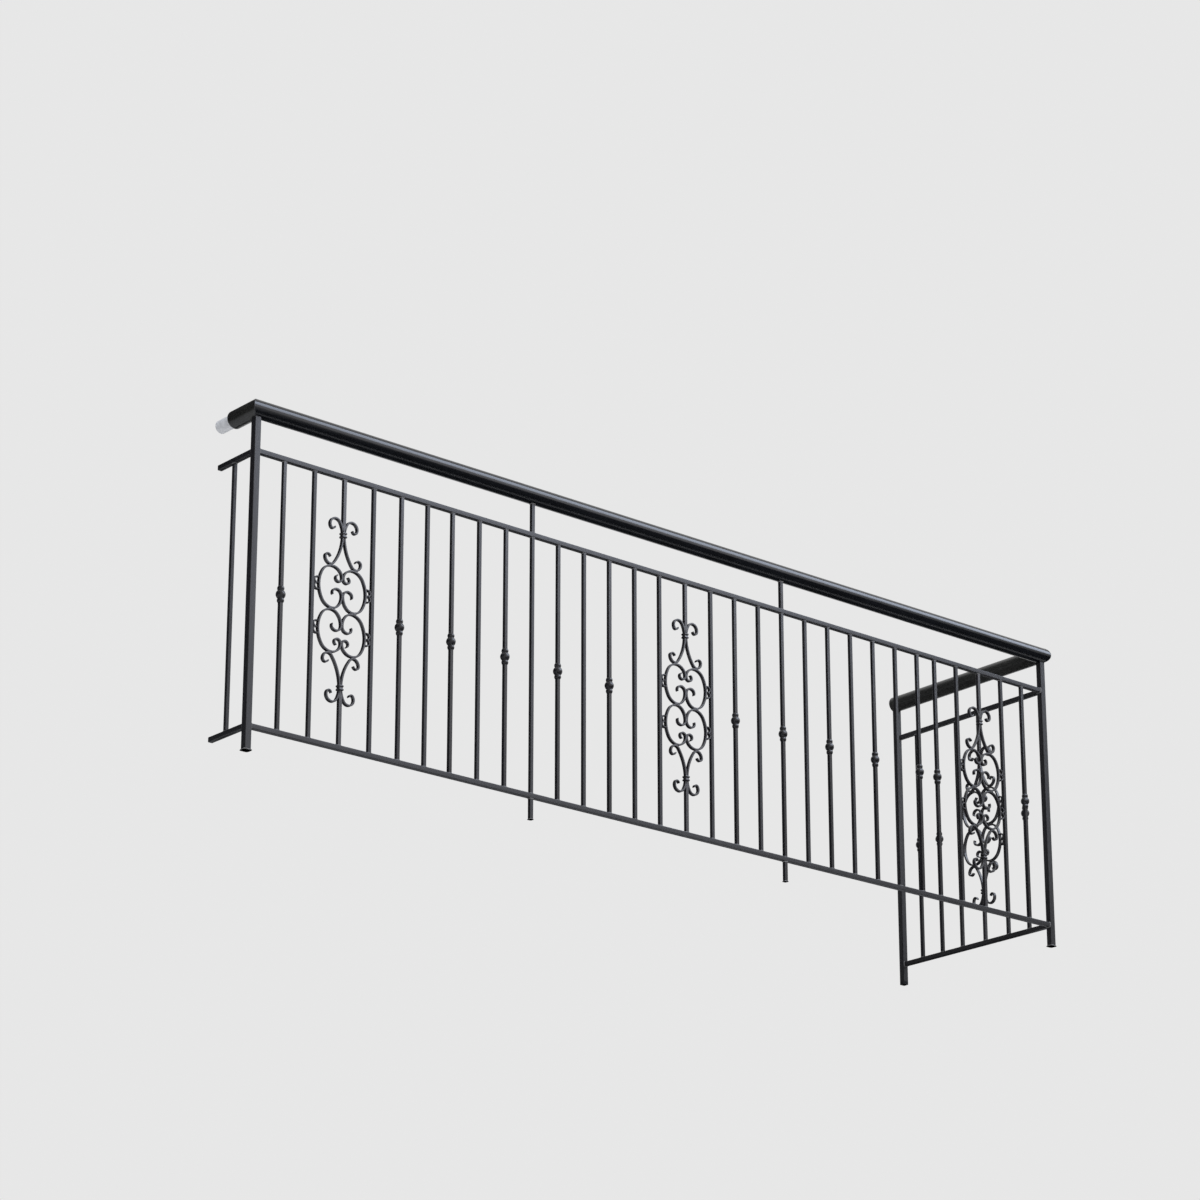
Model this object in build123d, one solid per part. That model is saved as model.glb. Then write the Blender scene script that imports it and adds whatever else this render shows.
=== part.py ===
from build123d import *
import os
from math import acos, atan2, degrees, sqrt

os.makedirs("parts", exist_ok=True)

# Wrought steel balcony railing: a long front run, a full return on the right and a short return on the left.
# Lengths are in millimetres. +X runs along the front, +Y points to the building, +Z is up.

# Plan and heights
front_run = 3418.0
right_run = 720.0
left_run = 185.0
top_height = 1100.0
head_gap = 98.0
bottom_rail_height = 76.0

# Bar and tube sections
handrail_diameter = 57.0
handrail_wall = 3.0
post_size = 22.0
rail_size = 16.0
bar_size = 12.0
seat_gap = 0.2

# Short left handrail and the stub that carries it on the wall
left_handrail_run = 112.0
stub_diameter = 42.0

# Vertical bars, numbered from the left on the front and from the corner on the right return.
# A gap has the number of the bar that ends it, and a few on the front were set out by eye.
front_bar_count = 31
return_bar_count = 6
panel_gap = 112.0
uneven_front_gaps = {2: 112.0, 6: 101.0, 7: 98.0, 27: 86.0}
front_panels = (3, 16, 29)
front_supports = (10, 20)
front_knuckles = (1, 5, 7, 9, 11, 13, 18, 20, 22, 24, 26, 27, 31)
return_panels = (3,)
return_knuckles = (1, 5, 6)
left_bar_offset = 105.0

# Forged knuckle: a bead between two collars, whose necks cover the corners of the bar
bead_diameter = 30.0
bead_height = 25.0
collar_diameter = 22.0
collar_height = 12.5
neck_cover = 0.5

# Scroll work of flat bar on edge
scroll_thickness = 6.0
scroll_depth = 12.0
scroll_tip = 4.0
weld_bite = 0.4
tight_ring_arcs = ((30.0, 92.0), (60.0, 41.6), (45.0, 38.7), (50.0, 29.2), (120.0, 11.8), (120.0, 9.5))
open_ring_arcs = ((30.0, 92.0), (60.0, 41.6), (45.0, 31.0), (50.0, 47.8), (120.0, 18.0), (80.0, 12.0))
finial_arcs = ((30.0, 77.0), (180.0, 20.0), (140.0, 7.5))
branch_arcs = ((36.0, 161.0), (90.0, 17.0), (54.0, 22.0), (160.0, 9.5))
band_width = 19.0
band_core = 15.0
band_ridge = 6.0
band_groove = 5.0
band_chamfer = 1.5
clasp_width = 12.0
clasp_height = 8.0
clip_height = 43.0
clip_thickness = 4.0

# The curves are drawn as chords: a scroll's leave the true arc by about the sag
chord_sag = 1.2
tip_chord_count = 3
clip_sides = 8
knuckle_sides = 12
bead_chord_count = 4
collar_chord_count = 2

handrail_radius = handrail_diameter / 2
handrail_axis = top_height - handrail_radius
half_post = post_size / 2
half_rail = rail_size / 2
half_bar = bar_size / 2
neck_radius = half_bar * sqrt(2) + neck_cover
upper_rail_height = top_height - handrail_diameter - head_gap - half_rail
bar_bottom = bottom_rail_height + half_rail
bar_top = upper_rail_height - half_rail
bar_middle = (bar_bottom + bar_top) / 2

# The origin is the middle of the overall box, on the ledge
left_x = -front_run / 2
right_x = front_run / 2
front_y = (handrail_radius - right_run - half_post) / 2
wall_y = front_y + right_run


def block(x_low, x_high, y_low, y_high, z_low, z_high):
    size = (x_high - x_low, y_high - y_low, z_high - z_low)
    centre = ((x_high + x_low) / 2, (y_high + y_low) / 2, (z_high + z_low) / 2)
    return Pos(*centre) * Box(*size)


def upright(x, y, size, z_low, z_high):
    return block(x - size / 2, x + size / 2, y - size / 2, y + size / 2, z_low, z_high)


def rod_along_x(radius, x_low, x_high, y):
    return Pos((x_low + x_high) / 2, y, handrail_axis) * Rot(0, 90, 0) * Cylinder(radius, x_high - x_low)


def rod_along_y(radius, x, y_low, y_high):
    return Pos(x, (y_low + y_high) / 2, handrail_axis) * Rot(90, 0, 0) * Cylinder(radius, y_high - y_low)


def mitre(solid, x, normal):
    plane = Plane(origin=(x, front_y, handrail_axis), x_dir=(0, 0, 1), z_dir=normal)
    return split(solid, bisect_by=plane, keep=Keep.TOP)


# Handrail runs, mitred where they meet. Each is one solid of the given radius.
def front_handrail(radius):
    reach = 2 * radius
    rod = rod_along_x(radius, left_x - reach, right_x + reach, front_y)
    return mitre(mitre(rod, left_x, (1, -1, 0)), right_x, (-1, -1, 0))


def right_handrail(radius, end_y):
    rod = rod_along_y(radius, right_x, front_y - 2 * radius, end_y)
    return mitre(rod, right_x, (1, 1, 0))


def left_handrail(radius, end_y):
    rod = rod_along_y(radius, left_x, front_y - 2 * radius, end_y)
    return mitre(rod, left_x, (-1, 1, 0))


bore_radius = handrail_radius - handrail_wall
right_end_y = wall_y + half_post
left_end_y = front_y + left_handrail_run
left_wall_y = front_y + left_run

handrails = {
    "handrail_front": front_handrail(handrail_radius) - front_handrail(bore_radius),
    "handrail_right_return": right_handrail(handrail_radius, right_end_y)
    - right_handrail(bore_radius, right_end_y - handrail_wall),
    "handrail_left_return": left_handrail(handrail_radius, left_end_y)
    - left_handrail(bore_radius, left_end_y - handrail_wall),
}
stub = rod_along_y(stub_diameter / 2, left_x, left_end_y, left_wall_y)

# Posts and support bars are notched at the top to seat under the round handrail
notch_radius = handrail_radius + seat_gap
notch = [
    front_handrail(notch_radius),
    right_handrail(notch_radius, right_end_y + seat_gap),
    left_handrail(notch_radius, left_end_y + seat_gap),
]


def under_handrail(x, y, size, z_low):
    piece = upright(x, y, size, z_low, handrail_axis)
    for rod in notch:
        piece = piece - rod
    return piece


posts = {
    "corner_post_left": under_handrail(left_x, front_y, post_size, 0),
    "corner_post_right": under_handrail(right_x, front_y, post_size, 0),
    "wall_post_right": under_handrail(right_x, wall_y, post_size, 0),
}

# Square rails between the posts
rails = {}
for name, height in (("upper_rail", upper_rail_height), ("bottom_rail", bottom_rail_height)):
    z_low = height - half_rail
    z_high = height + half_rail
    first = front_y + half_post
    rails[name + "_front"] = block(
        left_x + half_post, right_x - half_post, front_y - half_rail, front_y + half_rail, z_low, z_high
    )
    rails[name + "_right_return"] = block(
        right_x - half_rail, right_x + half_rail, first, wall_y - half_post, z_low, z_high
    )
    rails[name + "_left_return"] = block(
        left_x - half_rail, left_x + half_rail, first, left_wall_y, z_low, z_high
    )


# Places of the bars along a run: the gaps beside a scroll panel are wider, and those that aren't set
# out unevenly share the rest
def bar_places(run, bar_count, panels, uneven_gaps):
    widths = dict(uneven_gaps)
    for number in panels:
        widths[number] = panel_gap
        widths[number + 1] = panel_gap
    gap_count = bar_count + 1
    even_gap = (run - sum(widths.values())) / (gap_count - len(widths))
    places = [0.0]
    for number in range(1, gap_count + 1):
        places.append(places[-1] + widths.get(number, even_gap))
    return places


# Regular polygon round a circle, with flats square to the bars
def many_sided(radius, sides):
    return RegularPolygon(radius, sides, major_radius=False, rotation=180 / sides)


# Sections of a swelling from one neck over its widest radius to the next neck, as radius and height
def swelling(widest_diameter, z_low, z_high, chords):
    widest = (widest_diameter / 2, (z_low + z_high) / 2)
    arc = ThreePointArc((neck_radius, z_low), widest, (neck_radius, z_high))
    return [arc @ (chord / chords) for chord in range(1, chords + 1)]


# The knuckle is a stack of tapered slices, one between each pair of sections
def knuckle():
    neck_z = bead_height / 2
    end_z = neck_z + collar_height
    sections = [Vector(neck_radius, -end_z)]
    sections += swelling(collar_diameter, -end_z, -neck_z, collar_chord_count)
    sections += swelling(bead_diameter, -neck_z, neck_z, bead_chord_count)
    sections += swelling(collar_diameter, neck_z, end_z, collar_chord_count)
    slices = []
    for below, above in zip(sections, sections[1:]):
        height = above.Y - below.Y
        taper = degrees(atan2(below.X - above.X, height))
        base = Pos(0, 0, below.Y) * many_sided(below.X, knuckle_sides)
        slices.append(extrude(base, height, taper=taper))
    return slices[0].fuse(*slices[1:]).clean()


knuckle_shape = knuckle()


def baluster(x, y, with_knuckle):
    bar = upright(x, y, bar_size, bar_bottom, bar_top)
    if with_knuckle:
        bar = bar + Pos(x, y, bar_middle) * knuckle_shape
    return bar


# Number of chords that stand for an arc of so many degrees
def chord_count(radius, sweep):
    step = 2 * degrees(acos(1 - chord_sag / radius))
    return max(1, round(sweep / step))


# Half of a scroll: tangent arcs from a straight-cut start to a thinner rounded tip, drawn flat.
# It curls to the left where turn is 1 and to the right where turn is -1.
def half_scroll(start, heading, arcs, turn):
    outer_side = []
    inner_side = []
    point = Vector(*start)
    for number, (sweep, radius) in enumerate(arcs):
        outer_radius = radius + scroll_thickness / 2
        spoke = Vector(1, 0).rotate(Axis.Z, heading - turn * 90)
        centre = point - spoke * radius
        thinning = scroll_thickness - scroll_tip if number == len(arcs) - 1 else 0
        chords = chord_count(outer_radius, sweep)
        for chord in range(min(number, 1), chords + 1):
            share = chord / chords
            ray = spoke.rotate(Axis.Z, turn * sweep * share)
            outer_side.append(centre + ray * outer_radius)
            inner_side.append(centre + ray * (outer_radius - scroll_thickness + thinning * share))
        point = centre + ray * radius
        heading = heading + turn * sweep
    tip_centre = (outer_side[-1] + inner_side[-1]) / 2
    tip = []
    for chord in range(1, tip_chord_count):
        tip.append(tip_centre + ray.rotate(Axis.Z, turn * 180 * chord / tip_chord_count) * (scroll_tip / 2))
    outline = outer_side + tip + inner_side[::-1]
    return Polygon(*outline[::turn], align=None)


# A ring scroll curls tightly at its upper end and hooks wide open at its lower one. It is set by its
# inner and lower extremes, and its two halves meet at its middle height.
def ring_scroll():
    upper = half_scroll((0, 0), 90, tight_ring_arcs, 1)
    lower = mirror(half_scroll((0, 0), 90, open_ring_arcs, 1), Plane.XZ)
    whole = upper + lower
    box = whole.bounding_box()
    middle = -box.min.Y - weld_bite
    return Pos(-box.min.X - weld_bite, middle) * whole, middle


# The branch runs down from the band to the ring and the finial runs up from it
def branch_scroll():
    start = (scroll_thickness / 2, 0)
    upward = half_scroll(start, 90, finial_arcs, -1)
    downward = half_scroll(start, -90, branch_arcs, 1)
    return upward + downward, downward.bounding_box().min.Y


ring, ring_middle = ring_scroll()
ring_outside = ring.bounding_box().max.X
ring_crown = ring.bounding_box().max.Y
branch, branch_low = branch_scroll()
raised = ring_crown - branch_low
band_level = raised - ring.distance_to(Pos(0, raised) * branch) - weld_bite


# Two small bows like a figure 3 that tie the ring to the next bar
def side_clip():
    reach = panel_gap - half_bar - ring_outside + weld_bite
    outer_radius = (clip_height + clip_thickness) / 4
    inner_radius = outer_radius - clip_thickness
    bow_centre = reach - outer_radius

    def filled_bow(radius):
        legs = Pos(-reach / 2, 0) * Rectangle(reach, 2 * radius)
        return Pos(bow_centre, 0) * (many_sided(radius, clip_sides) + legs)

    bow = filled_bow(outer_radius) - filled_bow(inner_radius)
    bow = bow & Pos(reach / 2, 0) * Rectangle(reach, 2 * outer_radius)
    offset = outer_radius - clip_thickness / 2
    clip = Pos(0, offset) * bow + Pos(0, -offset) * bow
    return Pos(ring_outside - weld_bite, ring_middle) * clip


# One quarter of the panel, drawn flat with the panel's middle at the origin
def panel_face():
    quarter = ring + Pos(0, band_level) * branch + side_clip()
    clasp = Pos(ring_outside / 2, 0) * Rectangle(clasp_width, clasp_height)
    half = quarter + mirror(quarter, Plane.XZ) + clasp
    return half + mirror(half, Plane.YZ)


# A band has two ridges with a groove between them
def band():
    ridge = Box(band_width, band_width, band_ridge)
    ridge = chamfer(ridge.edges().filter_by(Axis.Z, reverse=True), band_chamfer)
    offset = (band_ridge + band_groove) / 2
    core = Box(band_core, band_core, band_groove)
    return core + Pos(0, 0, offset) * ridge + Pos(0, 0, -offset) * ridge


def scroll_panel():
    flat = extrude(panel_face(), scroll_depth / 2, both=True)
    panel = Rot(90, 0, 0) * flat
    reach = (bar_top - bar_bottom) / 2
    stem_length = reach - band_level
    stem = Box(bar_size, bar_size, stem_length)
    panel = panel + Pos(0, 0, band_level + stem_length / 2) * stem + Pos(0, 0, -band_level - stem_length / 2) * stem
    panel = panel + Pos(0, 0, band_level) * band() + Pos(0, 0, -band_level) * band()
    return panel


panel_shape = scroll_panel()

front_places = bar_places(front_run, front_bar_count, front_panels, uneven_front_gaps)
return_places = bar_places(right_run, return_bar_count, return_panels, {})

parts = {}
parts.update(handrails)
parts["wall_stub_left"] = stub
parts.update(posts)
parts.update(rails)

# Support bars: a foot below the bottom rail, the bar between the rails and a head up to the handrail
for side, number in zip(("left", "right"), front_supports):
    x = left_x + front_places[number]
    foot = upright(x, front_y, bar_size, 0, bottom_rail_height - half_rail)
    middle = baluster(x, front_y, number in front_knuckles)
    head = under_handrail(x, front_y, bar_size, upper_rail_height + half_rail)
    parts["support_bar_" + side] = Compound(children=[foot, middle, head])

for side, number in zip(("left", "middle", "right"), front_panels):
    parts["scroll_panel_" + side] = Pos(left_x + front_places[number], front_y, bar_middle) * panel_shape

for number in return_panels:
    place = Pos(right_x, front_y + return_places[number], bar_middle)
    parts["scroll_panel_return"] = place * Rot(0, 0, 90) * panel_shape

# Balusters: each knuckled one is a node, and the plain ones of one bay share a node
bays = {"left_bay": [], "middle_bay": [], "right_bay": []}
for number in range(1, front_bar_count + 1):
    if number in front_panels or number in front_supports:
        continue
    x = left_x + front_places[number]
    if number in front_knuckles:
        parts["knuckle_baluster_front_%02d" % number] = baluster(x, front_y, True)
    else:
        bay = "left_bay" if number < front_supports[0] else "right_bay"
        if front_supports[0] < number < front_supports[1]:
            bay = "middle_bay"
        bays[bay].append(baluster(x, front_y, False))

bays["right_return"] = []
for number in range(1, return_bar_count + 1):
    y = front_y + return_places[number]
    if number in return_knuckles:
        parts["knuckle_baluster_return_%02d" % number] = baluster(right_x, y, True)
    elif number not in return_panels:
        bays["right_return"].append(baluster(right_x, y, False))

bays["left_return"] = [baluster(left_x, front_y + left_bar_offset, False)]
for bay, bars in bays.items():
    parts["plain_balusters_" + bay] = Compound(children=bars) if len(bars) > 1 else bars[0]

for name, shape in parts.items():
    export_step(shape, "parts/" + name + ".step")
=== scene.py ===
import bmesh
import bpy
from math import atan2, ceil, cos, pi, radians, sin
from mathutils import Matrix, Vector, noise


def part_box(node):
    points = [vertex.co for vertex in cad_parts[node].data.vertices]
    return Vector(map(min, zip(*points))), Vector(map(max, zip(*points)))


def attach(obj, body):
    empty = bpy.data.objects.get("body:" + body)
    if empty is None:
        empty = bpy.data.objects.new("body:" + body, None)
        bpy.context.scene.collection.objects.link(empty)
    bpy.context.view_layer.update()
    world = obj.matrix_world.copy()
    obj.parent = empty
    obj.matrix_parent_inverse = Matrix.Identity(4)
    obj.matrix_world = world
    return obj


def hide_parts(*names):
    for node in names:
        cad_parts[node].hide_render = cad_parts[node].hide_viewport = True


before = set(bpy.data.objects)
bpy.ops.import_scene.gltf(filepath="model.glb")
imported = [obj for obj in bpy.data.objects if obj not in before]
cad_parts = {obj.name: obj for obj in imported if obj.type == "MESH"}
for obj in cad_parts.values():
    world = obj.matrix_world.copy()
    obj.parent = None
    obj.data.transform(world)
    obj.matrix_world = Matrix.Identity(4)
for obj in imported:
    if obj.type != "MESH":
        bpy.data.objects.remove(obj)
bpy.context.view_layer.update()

# Posts. Solid 22 mm square bar: one at each front corner, welded at its foot, and one at the far end of the
# right return. The whole railing is sprayed black over the fine lines of rolled bar. The coat thins on the
# edges, which are also painted lighter as a painted highlight, and holds some dust on top.
post_names = ("corner_post_left", "corner_post_right", "wall_post_right")
post_edge = 0.0020
bar_black = (0.0118, 0.0114, 0.0132)
thick_tone = 0.75
thin_tone = 1.3
line_tone = 2.1
line_share = 0.35
cloud_span = (0.35, 0.65)
line_span = (0.45, 0.75)
gloss_span = (0.3, 0.7)
# Edge colour: partly worn paint, partly a painted highlight along the rounded edges
edge_wear_and_highlight_grey = (0.150, 0.145, 0.150)
edge_wear_and_highlight_width = 0.0018
edge_wear_and_highlight_samples = 4
edge_wear_and_highlight_span = (0.97, 0.80)
patch_span = (0.40, 0.60)
patch_wear_and_highlight = (0.25, 0.8)
dust_colour = (0.110, 0.102, 0.092)
upward_span = (0.25, 0.95)
speck_span = (0.35, 0.70)
speck_share = (0.35, 1.0)
coat_dust = 0.45
coat_shine = 0.42
coat_relief = 0.00018
bump_strength = 0.5
grit_height = 0.45
dust_matting = 0.5
cloud_scale = 7.0
grit_scale = 900.0
grit_detail = 2.0
line_detail = 5.0
lines_across = 650.0
lines_along = 9.0
upright_grain = (lines_across, lines_across, lines_along)
upright_roughness = (0.34, 0.50)
weld_distance = 0.00002
edge_steps = 3
sharpest_edge = 40


def add_node(tree, kind, inputs=None, **settings):
    made = tree.nodes.new("ShaderNode" + kind)
    for setting, value in settings.items():
        setattr(made, setting, value)
    for socket, value in (inputs or {}).items():
        if isinstance(value, bpy.types.NodeSocket):
            tree.links.new(value, made.inputs[socket])
        else:
            made.inputs[socket].default_value = value
    return made


def combine(tree, operation, first, second):
    return add_node(tree, "Math", {0: first, 1: second}, operation=operation).outputs[0]


def alike(tree, first, second):
    made = add_node(tree, "VectorMath", {0: first, 1: second}, operation="DOT_PRODUCT")
    return made.outputs["Value"]


# A span is the two levels of a value between which an effect goes from its least to its most
def rescale(tree, value, low, high, new_low, new_high):
    made = add_node(tree, "MapRange", {0: value, 1: low, 2: high, 3: new_low, 4: new_high})
    return made.outputs[0]


def blend_colours(tree, share, under, over):
    made = add_node(tree, "Mix", {0: share, 6: under, 7: over}, data_type="RGBA")
    return made.outputs[2]


def speckle(tree, place, scale, detail=3.0):
    made = add_node(tree, "TexNoise", {"Vector": place, "Scale": scale, "Detail": detail})
    return made.outputs[0]


def tint(colour, strength=1.0):
    return (colour[0] * strength, colour[1] * strength, colour[2] * strength, 1.0)


def paint(name, colour, roughness, grain, relief=coat_relief, dust=coat_dust, shine=coat_shine):
    coat = bpy.data.materials.new(name)
    coat.use_nodes = True
    tree = coat.node_tree
    shader = tree.nodes["Principled BSDF"]
    shader.inputs["Specular IOR Level"].default_value = shine
    place = add_node(tree, "TexCoord").outputs["Object"]
    drawn = add_node(tree, "VectorMath", {0: place, 1: grain}, operation="MULTIPLY").outputs[0]
    clouds = speckle(tree, place, cloud_scale)
    lines = speckle(tree, drawn, 1.0, line_detail)
    grit = speckle(tree, place, grit_scale, grit_detail)

    # thick and thin places in the coat
    thinness = rescale(tree, clouds, *cloud_span, 0.0, 1.0)
    tone = blend_colours(tree, thinness, tint(colour, thick_tone), tint(colour, thin_tone))
    raised_lines = rescale(tree, lines, *line_span, 0.0, line_share)
    tone = blend_colours(tree, raised_lines, tone, tint(colour, line_tone))

    # edges where the paint has drawn back, painted lighter still as a painted highlight along them
    rounded = add_node(tree, "Bevel", {"Radius": edge_wear_and_highlight_width}, samples=edge_wear_and_highlight_samples).outputs[0]
    faced = add_node(tree, "NewGeometry").outputs["Normal"]
    sharpness = rescale(tree, alike(tree, rounded, faced), *edge_wear_and_highlight_span, 0.0, 1.0)
    patches = rescale(tree, clouds, *patch_span, *patch_wear_and_highlight)
    tone = blend_colours(tree, combine(tree, "MULTIPLY", sharpness, patches), tone, tint(edge_wear_and_highlight_grey))

    # dust on whatever faces the sky
    upward = add_node(tree, "SeparateXYZ", {0: faced}).outputs["Z"]
    lying = rescale(tree, upward, *upward_span, 0.0, dust)
    specks = rescale(tree, grit, *speck_span, *speck_share)
    settled = combine(tree, "MULTIPLY", lying, specks)
    tone = blend_colours(tree, settled, tone, tint(dust_colour))
    tree.links.new(tone, shader.inputs["Base Color"])

    # gloss that varies along the lines, and a slightly raised surface
    uneven = rescale(tree, lines, *gloss_span, *roughness)
    matt = combine(tree, "ADD", uneven, combine(tree, "MULTIPLY", settled, dust_matting))
    tree.links.new(matt, shader.inputs["Roughness"])
    height = combine(tree, "ADD", lines, combine(tree, "MULTIPLY", grit, grit_height))
    bump = add_node(tree, "Bump", {"Strength": bump_strength, "Distance": relief, "Height": height})
    tree.links.new(bump.outputs[0], shader.inputs["Normal"])
    return coat


# Rolled bar has softly rounded edges
def soften(piece, edge):
    joined = piece.modifiers.new("joined", "WELD")
    joined.merge_threshold = weld_distance
    rolled = piece.modifiers.new("rolled", "BEVEL")
    rolled.width = edge
    rolled.segments = edge_steps
    rolled.limit_method = "ANGLE"
    rolled.angle_limit = radians(sharpest_edge)
    faired = piece.modifiers.new("faired", "WEIGHTED_NORMAL")
    faired.keep_sharp = False


def finish_node(name, coat, edge):
    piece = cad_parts[name]
    piece.material_slots[0].material = coat
    soften(piece, edge)


upright_paint = paint("upright_bar_paint", bar_black, upright_roughness, upright_grain)
for name in post_names:
    finish_node(name, upright_paint, post_edge)

left_post_low, left_post_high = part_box("corner_post_left")
right_post_low, right_post_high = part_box("corner_post_right")
end_post_low, end_post_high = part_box("wall_post_right")
left_x = (left_post_low.x + left_post_high.x) / 2
right_x = (right_post_low.x + right_post_high.x) / 2
front_y = (left_post_low.y + left_post_high.y) / 2
end_y = (end_post_low.y + end_post_high.y) / 2
half_post = (left_post_high.x - left_post_low.x) / 2

# Rails. 16 mm square bar, one high and one low on each side, cut between the posts and welded to them.
# The two short ones on the left reach back from the left corner post. Their rolling lines run along them.
rail_edge = 0.0020
rail_dust = 0.5
front_rail_roughness = (0.34, 0.48)
return_rail_roughness = (0.36, 0.52)
front_grain = (lines_along, lines_across, lines_across)
return_grain = (lines_across, lines_along, lines_across)

front_rail_paint = paint("front_rail_paint", bar_black, front_rail_roughness, front_grain, dust=rail_dust)
return_rail_paint = paint("return_rail_paint", bar_black, return_rail_roughness, return_grain, dust=rail_dust)
for level in ("upper_rail_", "bottom_rail_"):
    finish_node(level + "front", front_rail_paint, rail_edge)
    finish_node(level + "right_return", return_rail_paint, rail_edge)
    finish_node(level + "left_return", return_rail_paint, rail_edge)

upper_low, upper_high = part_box("upper_rail_front")
bottom_low, bottom_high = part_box("bottom_rail_front")
half_rail = (upper_high.z - upper_low.z) / 2
bar_bottom = bottom_high.z
bar_top = upper_low.z
bar_middle = (bar_bottom + bar_top) / 2

# Plain balusters and the left support bar. 12 mm square bar, welded between the two rails.
# The support bar shows again above the upper rail, up to the handrail, and below the bottom rail, as a foot.
bar_edge = 0.0013
half_bar = 0.006
plain_names = [name for name in sorted(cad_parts) if name.startswith("plain_balusters")]

for name in plain_names + ["support_bar_left"]:
    finish_node(name, upright_paint, bar_edge)

# Knuckle balusters. The same bar with a forged knuckle half-way up: a round bead between two collars.
# Bar and knuckle are one piece, with a short shoulder where the collar ends.
bead_radius = 0.0150
collar_radius = 0.0110
neck_radius = 0.0090
neck_height = 0.0125
collar_end = 0.0250
shoulder_end = 0.0262
corner_points = 8
bead_steps = 18
collar_steps = 8
knuckle_roughness = (0.22, 0.34)


def rounded_square(x, y, z, half_x, half_y, corner):
    ring = []
    for quarter, (side_x, side_y) in enumerate(((1, 1), (-1, 1), (-1, -1), (1, -1))):
        for step in range(corner_points):
            angle = pi / 2 * (quarter + step / (corner_points - 1))
            across = side_x * (half_x - corner) + corner * cos(angle)
            along = side_y * (half_y - corner) + corner * sin(angle)
            ring.append(Vector((x + across, y + along, z)))
    return ring


def circle(x, y, z, radius):
    count = 4 * corner_points
    ring = []
    for corner in range(count):
        angle = 2 * pi * (corner + 0.5) / count
        ring.append(Vector((x + radius * cos(angle), y + radius * sin(angle), z)))
    return ring


# Surface through a row of rings, closed at both ends or round in a loop
def skin(rings, loop=False):
    count = len(rings[0])
    points = [point for ring in rings for point in ring]
    faces = []
    for number in range(len(rings) if loop else len(rings) - 1):
        here = number * count
        there = (number + 1) % len(rings) * count
        for corner in range(count):
            after = (corner + 1) % count
            faces.append((here + corner, here + after, there + after, there + corner))
    if not loop:
        faces.append(tuple(range(count))[::-1])
        faces.append(tuple(range(len(points) - count, len(points))))
    return points, faces


def make_piece(name, shapes, coat, replaced=()):
    points = []
    faces = []
    for shape_points, shape_faces in shapes:
        start = len(points)
        points.extend(shape_points)
        faces.extend(tuple(start + corner for corner in face) for face in shape_faces)
    mesh = bpy.data.meshes.new(name)
    mesh.from_pydata(points, [], faces)
    cleaner = bmesh.new()
    cleaner.from_mesh(mesh)
    bmesh.ops.recalc_face_normals(cleaner, faces=cleaner.faces)
    cleaner.to_mesh(mesh)
    cleaner.free()
    mesh.shade_smooth()
    mesh.materials.append(coat)
    piece = bpy.data.objects.new(name, mesh)
    bpy.context.scene.collection.objects.link(piece)
    faired = piece.modifiers.new("faired", "WEIGHTED_NORMAL")
    faired.keep_sharp = False
    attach(piece, "root")
    if replaced:
        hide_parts(*replaced)


# Radius and height of points along an arc that swells from the neck to the widest radius and back
def swell(widest, z_low, z_high, steps):
    rise = widest - neck_radius
    half_height = (z_high - z_low) / 2
    arc_radius = (half_height ** 2 + rise ** 2) / (2 * rise)
    arc_centre = widest - arc_radius
    middle = (z_low + z_high) / 2
    reach = atan2(half_height, neck_radius - arc_centre)
    profile = []
    for step in range(steps + 1):
        angle = reach * (2 * step / steps - 1)
        profile.append((arc_centre + arc_radius * cos(angle), middle + arc_radius * sin(angle)))
    return profile


def knuckle_profile():
    profile = swell(collar_radius, -collar_end, -neck_height, collar_steps)
    profile += swell(bead_radius, -neck_height, neck_height, bead_steps)[1:]
    profile += swell(collar_radius, neck_height, collar_end, collar_steps)[1:]
    return profile


def knuckle_bar(x, y):
    rings = [rounded_square(x, y, bar_bottom, half_bar, half_bar, bar_edge)]
    rings.append(rounded_square(x, y, bar_middle - shoulder_end, half_bar, half_bar, bar_edge))
    for radius, height in knuckle_profile():
        rings.append(circle(x, y, bar_middle + height, radius))
    rings.append(rounded_square(x, y, bar_middle + shoulder_end, half_bar, half_bar, bar_edge))
    rings.append(rounded_square(x, y, bar_top, half_bar, half_bar, bar_edge))
    return skin(rings)


knuckle_paint = paint("knuckle_bar_paint", bar_black, knuckle_roughness, upright_grain)
for name in sorted(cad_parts):
    if name.startswith("knuckle_baluster"):
        low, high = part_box(name)
        bar = knuckle_bar((low.x + high.x) / 2, (low.y + high.y) / 2)
        make_piece("forged_" + name, [bar], knuckle_paint, [name])

# Right support bar. A knuckle baluster that also runs on below the bottom rail, as a foot, and above the
# upper rail, where it carries the handrail. It is cut from the same 12 mm bar.
support_low, support_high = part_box("support_bar_right")
support_x = (support_low.x + support_high.x) / 2
cut_edge = 0.0004
cut_corner_share = 0.4
seat_depth = 0.0002


# A straight length of bar with the sharp corners of its cut ends filed off
def cut_bar(x, y, z_low, z_high, edge):
    end_half = half_bar - edge
    end_corner = edge * cut_corner_share
    rings = [rounded_square(x, y, z_low, end_half, end_half, end_corner)]
    rings.append(rounded_square(x, y, z_low + edge, half_bar, half_bar, edge))
    rings.append(rounded_square(x, y, z_high - edge, half_bar, half_bar, edge))
    rings.append(rounded_square(x, y, z_high, end_half, end_half, end_corner))
    return skin(rings)


support_foot = cut_bar(support_x, front_y, 0.0, bottom_low.z, cut_edge)
support_head = cut_bar(support_x, front_y, upper_high.z, support_high.z - seat_depth, cut_edge)
support_shapes = [support_foot, knuckle_bar(support_x, front_y), support_head]
make_piece("forged_support_bar_right", support_shapes, knuckle_paint, ["support_bar_right"])

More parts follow.
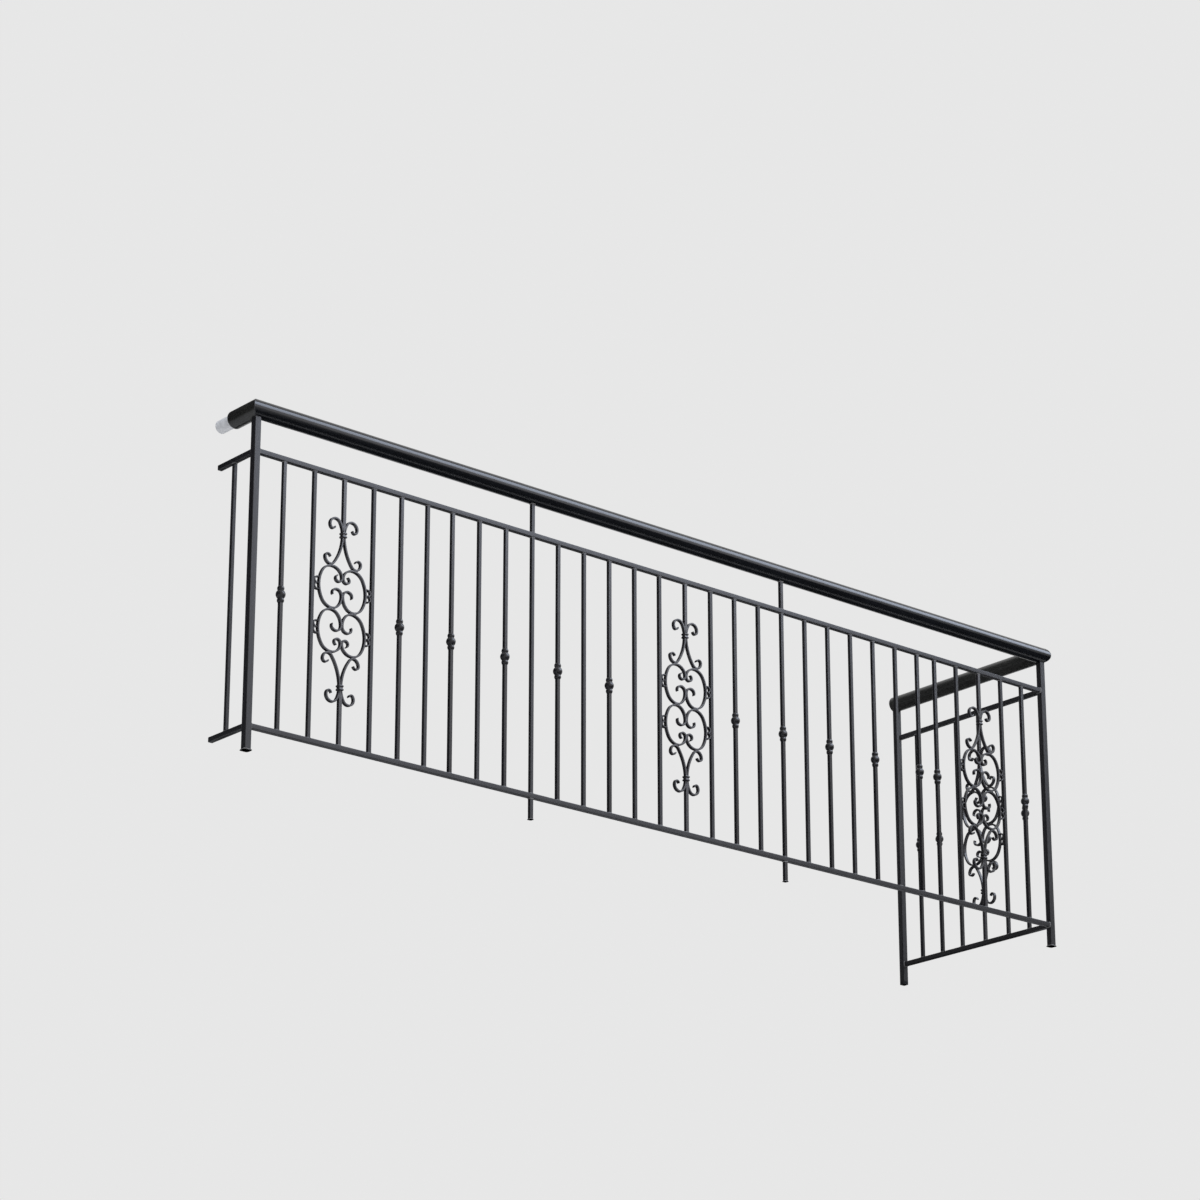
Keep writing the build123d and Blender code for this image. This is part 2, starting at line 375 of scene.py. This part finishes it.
# Scroll panels. Flat bar, 6 mm by 12 mm, bent hot on edge into C scrolls and thinned to a rounded tip.
# Two pairs of rings are stacked, with branch scrolls above and below, banded to a stem of square bar.
# An arc is given by its sweep in degrees and its radius. Each arc starts where the one before it ends.
scroll_half = 0.003
scroll_half_depth = 0.006
scroll_tip_half = 0.002
scroll_edge = 0.0011
largest_edge_share = 0.9
tight_ring_arcs = ((30, 0.0920), (60, 0.0416), (45, 0.0387), (50, 0.0292), (120, 0.0118), (120, 0.0095))
open_ring_arcs = ((30, 0.0920), (60, 0.0416), (45, 0.0310), (50, 0.0478), (120, 0.0180), (80, 0.0120))
finial_arcs = ((30, 0.0770), (180, 0.0200), (140, 0.0075))
branch_arcs = ((36, 0.1610), (90, 0.0170), (54, 0.0220), (160, 0.0095))
fewest_chords = 4
longest_chord = 0.0022
widest_chord_angle = 9
tip_angles = (20, 40, 58, 74)
section_points = 4
panel_gap = 0.112
weld_bite = 0.0004
touch_tolerance = 0.00001
band_half = 0.0095
band_core = 0.0075
band_ridge = 0.006
band_groove = 0.005
band_corner = 0.0028
ridge_steps = 4
ridge_fullness = 0.6
clasp_half = 0.006
clasp_height = 0.008
clasp_proud = 0.0004
clasp_chamfer = 0.0008
clasp_flat = 0.8
clasp_corner = 0.0014
clip_height = 0.043
clip_half = 0.002
clip_steps = 16
ring_weld = 0.0030
clip_weld = 0.0022
clip_bar_weld = 0.0020
clip_bar_weld_shift = 0.0008
seam_steps = 13
seam_points = 10
seam_overhang = 0.0004
seam_fullness = 0.5
seam_lumps = 0.22
seam_lump_scale = 700
scroll_black = (0.0120, 0.0108, 0.0136)
scroll_roughness = (0.30, 0.46)
scroll_grain = (260.0, 260.0, 260.0)
scroll_relief = 0.00035
scroll_dust = 0.4
scroll_shine = 0.66


# Points along tangent arcs: centre line, direction to the outer side, direction of travel, inner half
def follow(start, heading, arcs, turn):
    route = []
    point = Vector(start)
    for number, (sweep, radius) in enumerate(arcs):
        by_length = ceil(radians(sweep) * radius / longest_chord)
        steps = max(fewest_chords, by_length, ceil(sweep / widest_chord_angle))
        out_angle = heading - turn * 90
        centre = point - radius * Vector((cos(radians(out_angle)), sin(radians(out_angle))))
        thinning = 2 * (scroll_half - scroll_tip_half) if number == len(arcs) - 1 else 0.0
        # a later arc shares its first point with the arc before it
        for step in range(min(number, 1), steps + 1):
            angle = radians(out_angle + turn * sweep * step / steps)
            out = Vector((cos(angle), sin(angle)))
            ahead = turn * Vector((-out.y, out.x))
            route.append((centre + out * radius, out, ahead, scroll_half - thinning * step / steps))
        point = route[-1][0]
        heading = heading + turn * sweep
    return route


def flipped(route):
    mirror = Vector((1, -1))
    return [(point * mirror, out * mirror, ahead * mirror, inner) for point, out, ahead, inner in route]


# The bar's section at one point of the route, from its outer to its inner side, across the panel's depth
def scroll_section(point, out, outer, inner):
    middle = point + out * (outer - inner) / 2
    half = (outer + inner) / 2
    edge = min(scroll_edge, half * largest_edge_share)
    section = []
    for quarter, (side_out, side_deep) in enumerate(((1, 1), (-1, 1), (-1, -1), (1, -1))):
        for step in range(section_points):
            angle = pi / 2 * (quarter + step / (section_points - 1))
            across = side_out * (half - edge) + edge * cos(angle)
            deep = side_deep * (scroll_half_depth - edge) + edge * sin(angle)
            place = middle + out * across
            section.append(Vector((place.x, deep, place.y)))
    return section


def rounded_tip(point, out, ahead, inner):
    thick = (scroll_half + inner) / 2
    middle = point + out * (scroll_half - inner) / 2
    sections = []
    for angle in tip_angles:
        reach = thick * sin(radians(angle))
        left = thick * cos(radians(angle))
        sections.append(scroll_section(middle + ahead * reach, out, left, left))
    return sections


def forged_scroll(first_half, second_half):
    sections = rounded_tip(*first_half[-1])[::-1]
    for point, out, ahead, inner in first_half[::-1] + second_half[1:]:
        sections.append(scroll_section(point, out, scroll_half, inner))
    return sections + rounded_tip(*second_half[-1])


def moved(shape, across, rise, side=1, end=1):
    points, faces = shape
    placed = [Vector((side * (point.x + across), point.y, end * (point.z + rise))) for point in points]
    return placed, faces


upper_ring_half = follow((0, 0), 90, tight_ring_arcs, 1)
lower_ring_half = flipped(follow((0, 0), 90, open_ring_arcs, 1))
ring_sections = forged_scroll(lower_ring_half, upper_ring_half)
ring_points = [point for section in ring_sections for point in section]
ring_left = min(point.x for point in ring_points)
ring_across = -ring_left - weld_bite
ring_up = -min(point.z for point in ring_points) - weld_bite
ring_outside = max(point.x for point in ring_points) + ring_across
ring_crown = max(point.z for point in ring_points) + ring_up
ring_shift = Vector((ring_across, ring_up))

# Heights from the ring's middle at which its two curls touch the facing ring
touching = [point.z for point in ring_points if point.x < ring_left + touch_tolerance]
ring_touches = (min(touching), max(touching))

finial_half = follow((scroll_half, 0), 90, finial_arcs, -1)
branch_half = follow((scroll_half, 0), -90, branch_arcs, 1)
branch_sections = forged_scroll(branch_half, finial_half)
branch_low = min(point.z for section in branch_sections for point in section)
raised = ring_crown - branch_low

# The branch comes down until it rests on the ring
clearance = 1.0
for on_ring in upper_ring_half:
    for on_branch in branch_half:
        gap = (on_ring[0] + ring_shift - on_branch[0] - Vector((0, raised))).length
        clearance = min(clearance, gap - 2 * scroll_half)
band_level = raised - clearance - weld_bite

# Two small bows like a figure 3 tie the ring to the next bar
clip_radius = (clip_height - 2 * clip_half) / 4
clip_touch = panel_gap - half_bar - clip_half


def side_clip():
    sections = []
    for bow in (1, -1):
        centre = Vector((clip_touch - clip_radius, ring_up + bow * clip_radius))
        for step in range(0 if bow == 1 else 1, clip_steps + 1):
            angle = pi / 2 - pi * step / clip_steps
            out = Vector((cos(angle), sin(angle)))
            if step in (0, clip_steps):
                at_ring = Vector((ring_outside - weld_bite, centre.y + out.y * clip_radius))
                sections.append(scroll_section(at_ring, out, clip_half, clip_half))
            sections.append(scroll_section(centre + out * clip_radius, out, clip_half, clip_half))
    return skin(sections)


# A forged band of two rounded ridges with a groove between them holds the scrolls to the stem
def band():
    rings = []
    for side in (-1, 1):
        middle = side * (band_ridge + band_groove) / 2
        for step in range(-ridge_steps, ridge_steps + 1):
            angle = pi / 2 * step / ridge_steps
            lift = sin(angle) * band_ridge / 2
            half = band_core + (band_half - band_core) * cos(angle) ** ridge_fullness
            rings.append(rounded_square(0, 0, middle + lift, half, half, band_corner))
    return skin(rings)


# A small block grips the two stacked rings where they meet
def clasp():
    rings = []
    for lift, inset in ((-1, clasp_chamfer), (-clasp_flat, 0.0), (clasp_flat, 0.0), (1, clasp_chamfer)):
        half_x = clasp_half - inset
        half_y = clasp_half + clasp_proud - inset
        level = lift * clasp_height / 2
        rings.append(rounded_square(ring_outside / 2, 0, level, half_x, half_y, clasp_corner))
    return skin(rings)


# A weld across the depth of the panel where two scrolls touch
def weld_seam(across, rise, radius, seed):
    sections = []
    for step in range(seam_steps):
        angle = pi * (step + 0.5) / seam_steps
        deep = -(scroll_half_depth + seam_overhang) * cos(angle)
        swelling = radius * sin(angle) ** seam_fullness
        section = []
        for corner in range(seam_points):
            around = 2 * pi * corner / seam_points
            lump = 1 + seam_lumps * noise.noise(Vector((seed, deep * seam_lump_scale, around)))
            x = across + swelling * lump * cos(around)
            z = rise + swelling * lump * sin(around)
            section.append(Vector((x, deep, z)))
        sections.append(section)
    return skin(sections)


# Point half-way between the two routes where they come closest
def meeting_point(first_route, first_shift, second_route, second_shift):
    best = None
    for first in first_route:
        for second in second_route:
            here = first[0] + first_shift
            there = second[0] + second_shift
            if best is None or (here - there).length < best[0]:
                best = ((here - there).length, (here + there) / 2)
    return best[1]


def scroll_panel():
    ring = skin(ring_sections)
    branch = skin(branch_sections)
    clip = side_clip()
    joint = meeting_point(upper_ring_half, ring_shift, branch_half, Vector((0, band_level)))
    stem = cut_bar(0, 0, 0, (bar_top - bar_bottom) / 2 - band_level, bar_edge)
    shapes = []
    for end in (1, -1):
        for side in (1, -1):
            # each weld has a seed of its own, so that no two have the same lumps
            seed = 3 * end + side
            shapes.append(moved(ring, ring_across, ring_up, side, end))
            shapes.append(moved(branch, 0, band_level, side, end))
            shapes.append(moved(clip, 0, 0, side, end))
            shapes.append(moved(weld_seam(joint.x, joint.y, ring_weld, seed), 0, 0, side, end))
            for turn in (1, -1):
                at_ring = ring_up + turn * 2 * clip_radius
                weld = weld_seam(ring_outside, at_ring, clip_weld, seed + turn / 2)
                shapes.append(moved(weld, 0, 0, side, end))
                at_bar = ring_up + turn * clip_radius
                weld = weld_seam(clip_touch + clip_bar_weld_shift, at_bar, clip_bar_weld, seed - turn)
                shapes.append(moved(weld, 0, 0, side, end))
        for level in ring_touches:
            weld = weld_seam(0, ring_up + level, ring_weld, 9 + end + level)
            shapes.append(moved(weld, 0, 0, 1, end))
        shapes.append(moved(stem, 0, band_level, 1, end))
        shapes.append(moved(band(), 0, band_level, 1, end))
    for side in (1, -1):
        shapes.append(moved(clasp(), 0, 0, side))
    return shapes


scroll_finish = {"relief": scroll_relief, "dust": scroll_dust, "shine": scroll_shine}
scroll_paint = paint("scrollwork_paint", scroll_black, scroll_roughness, scroll_grain, **scroll_finish)
for name in sorted(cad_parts):
    if name.startswith("scroll_panel"):
        low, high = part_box(name)
        centre = (low + high) / 2
        on_return = high.y - low.y > high.x - low.x
        shapes = []
        for points, faces in scroll_panel():
            if on_return:
                points = [Vector((-point.y, point.x, point.z)) for point in points]
            shapes.append(([point + centre for point in points], faces))
        make_piece("forged_" + name, shapes, scroll_paint, [name])

# Weld beads. Each bar is welded all round where it meets a rail, and each rail where it meets a post.
# The beads are small and a little lumpy, and their paint is lightened to grey as a painted highlight for the
# glints they catch. A bead's two legs are its reach along the rail and across it. Its profile is in shares of
# the leg and of the height.
front_bar_count = 31
return_bar_count = 6
front_panels = (3, 16, 29)
return_panels = (3,)
front_supports = (10, 20)
uneven_front_gaps = {2: 0.112, 6: 0.101, 7: 0.098, 27: 0.086}
left_bar_offset = 0.105
bar_bead_legs = (0.0022, 0.0014)
support_bead_legs = (0.0030, 0.0018)
end_bead_legs = (0.0026, 0.0026)
post_bead_legs = (0.0040, 0.0040)
rail_bead_legs = (0.0024, 0.0028)
bead_profile = ((0.86, 0.28), (0.55, 0.62), (0.16, 1.0), (-0.25, 0.9))
bead_bite = 0.0003
bead_points = 40
bead_squareness = 0.30
bead_lumps = 0.28
bead_lump_scale = 420
# This grey is a painted highlight: it stands in for the glints on the beads
weld_highlight_grey = (0.150, 0.148, 0.145)
weld_roughness = (0.36, 0.52)
weld_grain = (420.0, 420.0, 420.0)
weld_relief = 0.0004
weld_dust = 0.5
weld_shine = 0.50


def bar_places(run, bar_count, panels, uneven_gaps):
    widths = dict(uneven_gaps)
    for number in panels:
        widths[number] = panel_gap
        widths[number + 1] = panel_gap
    gap_count = bar_count + 1
    even_gap = (run - sum(widths.values())) / (gap_count - len(widths))
    places = [0.0]
    for number in range(1, gap_count + 1):
        places.append(places[-1] + widths.get(number, even_gap))
    return places


# Pulls a round outline out towards the square one of the bar
def squarish(share):
    return abs(share) ** bead_squareness * (1 if share > 0 else -1)


# Bead round a square bar whose end stands on a face: base is on the face, away points along the bar
def weld_bead(base, away, half, legs, long_axis):
    long_leg, short_leg = legs
    short_axis = away.cross(long_axis)
    rings = []
    for step in range(bead_points):
        angle = 2 * pi * step / bead_points
        on_bar = long_axis * half * squarish(cos(angle)) + short_axis * half * squarish(sin(angle))
        place = base + on_bar
        lump = 1 + bead_lumps * noise.noise(place * bead_lump_scale + Vector((0, 0, angle)))
        out = (long_axis * long_leg * cos(angle) + short_axis * short_leg * sin(angle)) * lump
        rise = away * (long_leg + short_leg) / 2 * lump
        ring = [place + out * bead_profile[-1][0] - away * bead_bite, place + out - away * bead_bite]
        for out_share, rise_share in bead_profile:
            ring.append(place + out * out_share + rise * rise_share)
        rings.append(ring)
    return skin(rings, loop=True)


x_axis = Vector((1, 0, 0))
y_axis = Vector((0, 1, 0))
up = Vector((0, 0, 1))
front_places = bar_places(right_x - left_x, front_bar_count, front_panels, uneven_front_gaps)
return_places = bar_places(end_y - front_y, return_bar_count, return_panels, {})
bar_feet = [(Vector((left_x + place, front_y, 0)), x_axis) for place in front_places[1:-1]]
bar_feet += [(Vector((right_x, front_y + place, 0)), y_axis) for place in return_places[1:-1]]
bar_feet.append((Vector((left_x, front_y + left_bar_offset, 0)), y_axis))

beads = []
for foot, along in bar_feet:
    beads.append(weld_bead(foot + up * bar_bottom, up, half_bar, bar_bead_legs, along))
    beads.append(weld_bead(foot + up * bar_top, -up, half_bar, bar_bead_legs, along))
for number in front_supports:
    foot = Vector((left_x + front_places[number], front_y, 0))
    beads.append(weld_bead(foot + up * bottom_low.z, -up, half_bar, support_bead_legs, x_axis))
    beads.append(weld_bead(foot + up * upper_high.z, up, half_bar, support_bead_legs, x_axis))
    beads.append(weld_bead(foot + up * support_high.z, -up, half_bar, end_bead_legs, x_axis))
    beads.append(weld_bead(foot + up * bead_bite, up, half_bar, end_bead_legs, x_axis))
for post_x in (left_x, right_x):
    beads.append(weld_bead(Vector((post_x, front_y, bead_bite)), up, half_post, post_bead_legs, x_axis))
for level in (bar_bottom - half_rail, bar_top + half_rail):
    rail_ends = (
        (left_x + half_post, front_y, x_axis, y_axis),
        (right_x - half_post, front_y, -x_axis, y_axis),
        (left_x, front_y + half_post, y_axis, x_axis),
        (right_x, front_y + half_post, y_axis, x_axis),
        (right_x, end_y - half_post, -y_axis, x_axis),
    )
    for x, y, away, across in rail_ends:
        beads.append(weld_bead(Vector((x, y, level)), away, half_rail, rail_bead_legs, across))

weld_finish = {"relief": weld_relief, "dust": weld_dust, "shine": weld_shine}
weld_highlight_paint = paint("weld_bead_highlight_paint", weld_highlight_grey, weld_roughness, weld_grain, **weld_finish)
make_piece("weld_beads", beads, weld_highlight_paint)

# Handrail. Round steel tube, 57 mm, mitred and welded at both front corners, with its ends closed flat.
# It has the black paint in high gloss, which shows the soft orange peel of a sprayed coat. The front run's
# black is tinted blue as a painted sky reflection, and the returns have a lighter copy of it as painted
# light.
handrail_edge = 0.0012
# The blue in this black is a painted sky reflection
handrail_sky_tinted_black = (0.0040, 0.0046, 0.0062)
handrail_roughness = (0.15, 0.23)
handrail_dust = 0.06
# The returns' black is painted lighter than the front's: painted light, standing in for the light on them
return_painted_light_black = (0.0220, 0.0220, 0.0200)
return_roughness = (0.24, 0.34)
return_dust = 0.15
orange_peel = 0.00006
peel_along = 60.0
peel_across = 260.0
seam_radius = 0.0009
seam_width = 1.5
seam_height = 0.30
seam_sink = 0.16
mitre_steepness = 1.4
mitre_steps = 72
mitre_corners = 8
mitre_lumps = 0.25
mitre_lump_scale = 260

front_peel = (peel_along, peel_across, peel_across)
return_peel = (peel_across, peel_along, peel_across)
handrail_paint = paint(
    "handrail_gloss_paint", handrail_sky_tinted_black, handrail_roughness, front_peel, orange_peel, handrail_dust
)
return_handrail_painted_light_paint = paint(
    "handrail_return_painted_light", return_painted_light_black, return_roughness, return_peel, orange_peel, return_dust
)
finish_node("handrail_front", handrail_paint, handrail_edge)
finish_node("handrail_right_return", return_handrail_painted_light_paint, handrail_edge)
finish_node("handrail_left_return", return_handrail_painted_light_paint, handrail_edge)

handrail_low, handrail_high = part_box("handrail_front")
handrail_radius = (handrail_high.z - handrail_low.z) / 2
handrail_axis = handrail_high.z - handrail_radius


# The ground weld where two runs of the handrail meet at 45 degrees, kept inside the tube's outer limits
def mitre_seam(corner_x, inward):
    rings = []
    across = Vector((inward, -1, 0)).normalized()
    for step in range(mitre_steps):
        angle = 2 * pi * step / mitre_steps
        reach = handrail_radius * cos(angle)
        level = handrail_axis + handrail_radius * sin(angle)
        place = Vector((corner_x + inward * reach, front_y + reach, level))
        out = Vector((inward * cos(angle), cos(angle), mitre_steepness * sin(angle))).normalized()
        lump = 1 + mitre_lumps * noise.noise(place * mitre_lump_scale)
        ring = []
        for corner in range(mitre_corners):
            around = 2 * pi * corner / mitre_corners
            height = seam_radius * (seam_height * lump * cos(around) - seam_sink)
            width = seam_width * seam_radius * lump * sin(around)
            point = place + out * height + across * width
            x = min(max(point.x, handrail_low.x), handrail_high.x)
            y = max(point.y, handrail_low.y)
            z = min(point.z, handrail_high.z)
            ring.append(Vector((x, y, z)))
        rings.append(ring)
    return skin(rings, loop=True)


seams = [mitre_seam(left_x, 1), mitre_seam(right_x, -1)]
make_piece("handrail_mitre_welds", seams, handrail_paint)

# Stub. A short round bar, thinner than the handrail, that carries the end of the short left run.
# It is painted matt in a pale grey, with some grime in the paint.
stub_edge = 0.0010
stub_shine = 0.3
stub_roughness = (0.55, 0.75)
stub_relief = 0.0004
stub_dark = (0.74, 0.745, 0.75)
stub_light = (0.88, 0.885, 0.89)
stub_grime = (0.52, 0.51, 0.49)
grime_span = (0.55, 0.80)
grime_share = 0.5
mottle_scale = 60.0
mottle_detail = 5.0

stub_paint = bpy.data.materials.new("pale_stub_paint")
stub_paint.use_nodes = True
tree = stub_paint.node_tree
shader = tree.nodes["Principled BSDF"]
shader.inputs["Specular IOR Level"].default_value = stub_shine
place = add_node(tree, "TexCoord").outputs["Object"]
mottle = speckle(tree, place, mottle_scale, mottle_detail)
grime = speckle(tree, place, grit_scale)
lightness = rescale(tree, mottle, *cloud_span, 0.0, 1.0)
tone = blend_colours(tree, lightness, tint(stub_dark), tint(stub_light))
stained = rescale(tree, grime, *grime_span, 0.0, grime_share)
tone = blend_colours(tree, stained, tone, tint(stub_grime))
tree.links.new(tone, shader.inputs["Base Color"])
tree.links.new(rescale(tree, mottle, *gloss_span, *stub_roughness), shader.inputs["Roughness"])
bump = add_node(tree, "Bump", {"Strength": bump_strength, "Distance": stub_relief, "Height": grime})
tree.links.new(bump.outputs[0], shader.inputs["Normal"])
finish_node("wall_stub_left", stub_paint, stub_edge)

# Studio floor. A pale matt sheet, seen from above only, so that a low camera looks through it from beneath.
# It fades out towards its rim, so that no edge shows against the background.
floor_colour = (0.72, 0.715, 0.70)
floor_roughness = 0.85
floor_shine = 0.1
floor_mottle_scale = 1.4
floor_mottle_detail = 4.0
floor_unevenness = 0.02
floor_half = 9.0
fade_start = 3.2
fade_end = 7.5

floor_corners = [(x * floor_half, y * floor_half, 0) for x, y in ((-1, -1), (1, -1), (1, 1), (-1, 1))]
floor_mesh = bpy.data.meshes.new("studio_floor")
floor_mesh.from_pydata(floor_corners, [], [(0, 1, 2, 3)])
floor_coat = bpy.data.materials.new("studio_floor_paint")
floor_coat.use_nodes = True
tree = floor_coat.node_tree
shader = tree.nodes["Principled BSDF"]
shader.inputs["Roughness"].default_value = floor_roughness
shader.inputs["Specular IOR Level"].default_value = floor_shine
place = add_node(tree, "TexCoord").outputs["Object"]
mottle = speckle(tree, place, floor_mottle_scale, floor_mottle_detail)
floor_dark = tint(floor_colour, 1 - floor_unevenness)
floor_light = tint(floor_colour, 1 + floor_unevenness)
tone = blend_colours(tree, mottle, floor_dark, floor_light)
tree.links.new(tone, shader.inputs["Base Color"])
distance = add_node(tree, "VectorMath", {0: place}, operation="LENGTH").outputs["Value"]
faded = rescale(tree, distance, fade_start, fade_end, 0.0, 1.0)
beneath = add_node(tree, "NewGeometry").outputs["Backfacing"]
hidden = combine(tree, "MAXIMUM", faded, beneath)
clear = add_node(tree, "BsdfTransparent")
cover = add_node(tree, "MixShader", {0: hidden, 1: shader.outputs[0], 2: clear.outputs[0]})
tree.links.new(cover.outputs[0], tree.nodes["Material Output"].inputs["Surface"])
floor_mesh.materials.append(floor_coat)
floor = bpy.data.objects.new("studio_floor", floor_mesh)
bpy.context.scene.collection.objects.link(floor)

# Studio background. Pale wherever the camera or a reflection looks. As light on the object it is soft,
# strongest from above and from the front right, and weak from behind.
background = (0.80, 0.80, 0.80, 1.0)
ambient = (0.95, 0.98, 1.05)
from_above = 1.05
from_front = 0.44
from_back = 0.15
lit_side = (0.650, -0.760, 0.0)
lit_span = (-0.4, 1.0)

world = bpy.data.worlds.new("studio")
world.use_nodes = True
bpy.context.scene.world = world
tree = world.node_tree
path = add_node(tree, "LightPath").outputs
seen = combine(tree, "MAXIMUM", path["Is Camera Ray"], path["Is Glossy Ray"])
seen = combine(tree, "MAXIMUM", seen, path["Is Transmission Ray"])
direction = add_node(tree, "TexCoord").outputs["Generated"]
height = add_node(tree, "SeparateXYZ", {0: direction}).outputs["Z"]
overhead = rescale(tree, height, 0.0, 1.0, 0.0, from_above)
beside = rescale(tree, alike(tree, direction, lit_side), *lit_span, from_back, from_front)
strength = combine(tree, "ADD", overhead, beside)
dimmed = add_node(tree, "VectorMath", {0: ambient, "Scale": strength}, operation="SCALE").outputs[0]
sky = blend_colours(tree, seen, dimmed, background)
tree.links.new(sky, tree.nodes["Background"].inputs["Color"])

# Lamps and black cards. A long strip draws the light line on the handrail, and a wide soft lamp lights the
# fronts of the bars. The cards show only in reflections: they keep the gloss paint dark, and the gap that
# they leave on the floor under the railing draws the thin second line on the underside of the handrail.
lamp_distance = 4.6
lamp_aim_height = 0.6
front_lamp_glint = Vector((0.617, -0.7215, 0.314))
front_lamp_shift = Vector((-2.1, 0, 0))
front_lamp_size = (5.2, 2.2)
front_lamp_strength = 1.0
front_lamp_colour = (1.0, 0.97, 1.03)
strip_glint = Vector((0.617, -0.5025, 0.6055))
strip_aim = Vector((2.5, 0, 0))
strip_size = (6.4, 2.4)
strip_strength = 5.3
strip_colour = (0.82, 0.92, 1.12)
card_black = (0.01, 0.01, 0.01)
card_roughness = 0.95
card_level = 0.012
card_left = -1.7
card_right = 9.0
back_card_y = 2.6
back_card_left = -7.0
back_card_right = 0.3
back_card_top = 4.8
left_card_x = -4.4
left_card_front = -3.0
front_card_y = -6.0
front_card_left = 2.5
front_card_low = -1.0
front_card_top = 1.6
front_slant_left = 2.2
back_slant_left = -0.4
gap_front = front_y - 0.20
gap_back = front_y + 0.14
gap_fade = front_y - 0.55
gap_margin = 0.01


def soft_lamp(name, place, target, size, strength, colour):
    lamp = bpy.data.lights.new(name, "AREA")
    lamp.shape = "RECTANGLE"
    lamp.size, lamp.size_y = size
    lamp.energy = strength * pi * size[0] * size[1]
    lamp.color = colour
    stand = bpy.data.objects.new(name, lamp)
    stand.location = place
    stand.rotation_euler = (target - place).to_track_quat("-Z", "Y").to_euler()
    bpy.context.scene.collection.objects.link(stand)
    return stand


def standing_card(start, end, low, high):
    return [(*start, low), (*end, low), (*end, high), (*start, high)]


# Both lying cards end at one line on the right. Each has its own slant on the left.
def lying_card(near_y, near_left, far_y, far_left):
    outline = ((near_left, near_y), (card_right, near_y), (card_right, far_y), (far_left, far_y))
    return [(x, y, card_level) for x, y in outline]


bar_target = Vector((0, front_y, lamp_aim_height))
lamp_place = bar_target + lamp_distance * front_lamp_glint + front_lamp_shift
soft_lamp("front_softbox", lamp_place, bar_target, front_lamp_size, front_lamp_strength, front_lamp_colour)
on_handrail = Vector((0, front_y, handrail_axis))
strip_place = on_handrail + lamp_distance * strip_glint
strip_target = on_handrail + strip_aim
strip = soft_lamp("handrail_strip", strip_place, strip_target, strip_size, strip_strength, strip_colour)
strip.visible_diffuse = False

cards = (
    standing_card((back_card_left, back_card_y), (back_card_right, back_card_y), 0.0, back_card_top),
    standing_card((left_card_x, left_card_front), (left_card_x, back_card_y), 0.0, back_card_top),
    standing_card(
        (card_right, front_card_y), (front_card_left, front_card_y), front_card_low, front_card_top
    ),
    lying_card(front_card_y, front_slant_left, gap_front, card_left),
    lying_card(gap_back, card_left, back_card_y, back_slant_left),
)
card_points = [corner for card in cards for corner in card]
card_faces = [tuple(range(4 * number, 4 * number + 4)) for number in range(len(cards))]
card_mesh = bpy.data.meshes.new("black_cards")
card_mesh.from_pydata(card_points, [], card_faces)
card_coat = bpy.data.materials.new("black_card_cloth")
card_coat.use_nodes = True
tree = card_coat.node_tree
shader = tree.nodes["Principled BSDF"]
shader.inputs["Base Color"].default_value = tint(card_black)
shader.inputs["Roughness"].default_value = card_roughness

# The cards thin out towards the gap from in front, which gives the second line a soft edge
card_place = add_node(tree, "NewGeometry").outputs["Position"]
card_y = add_node(tree, "SeparateXYZ", {0: card_place}).outputs["Y"]
thinned = rescale(tree, card_y, gap_fade, gap_front, 0.0, 1.0)
in_front = combine(tree, "LESS_THAN", card_y, gap_back - gap_margin)
clear = add_node(tree, "BsdfTransparent")
hidden = combine(tree, "MULTIPLY", thinned, in_front)
cover = add_node(tree, "MixShader", {0: hidden, 1: shader.outputs[0], 2: clear.outputs[0]})
tree.links.new(cover.outputs[0], tree.nodes["Material Output"].inputs["Surface"])
card_mesh.materials.append(card_coat)
black_cards = bpy.data.objects.new("black_cards", card_mesh)
black_cards.visible_camera = False
black_cards.visible_diffuse = False
black_cards.visible_shadow = False
bpy.context.scene.collection.objects.link(black_cards)

# Camera. Low and to the left of the railing, as in the photograph, with a long lens that looks up.
# Its place was fitted to the posts, rails and bars. A small shift keeps the railing in the picture's middle.
camera_place = (-7.4495, -8.6212, -3.2239)
camera_turn = 40.612
camera_tilt = 18.323
focal_length = 109.03
sensor_width = 36.0
picture_shift = 0.1
farthest_seen = 100.0

lens = bpy.data.cameras.new("camera")
lens.lens = focal_length
lens.sensor_width = sensor_width
lens.shift_y = picture_shift
lens.clip_end = farthest_seen
camera = bpy.data.objects.new("camera", lens)
camera.location = camera_place
camera.rotation_euler = (radians(90 + camera_tilt), 0, radians(-camera_turn))
bpy.context.scene.collection.objects.link(camera)
bpy.context.scene.camera = camera
bpy.context.scene.view_settings.view_transform = "Standard"
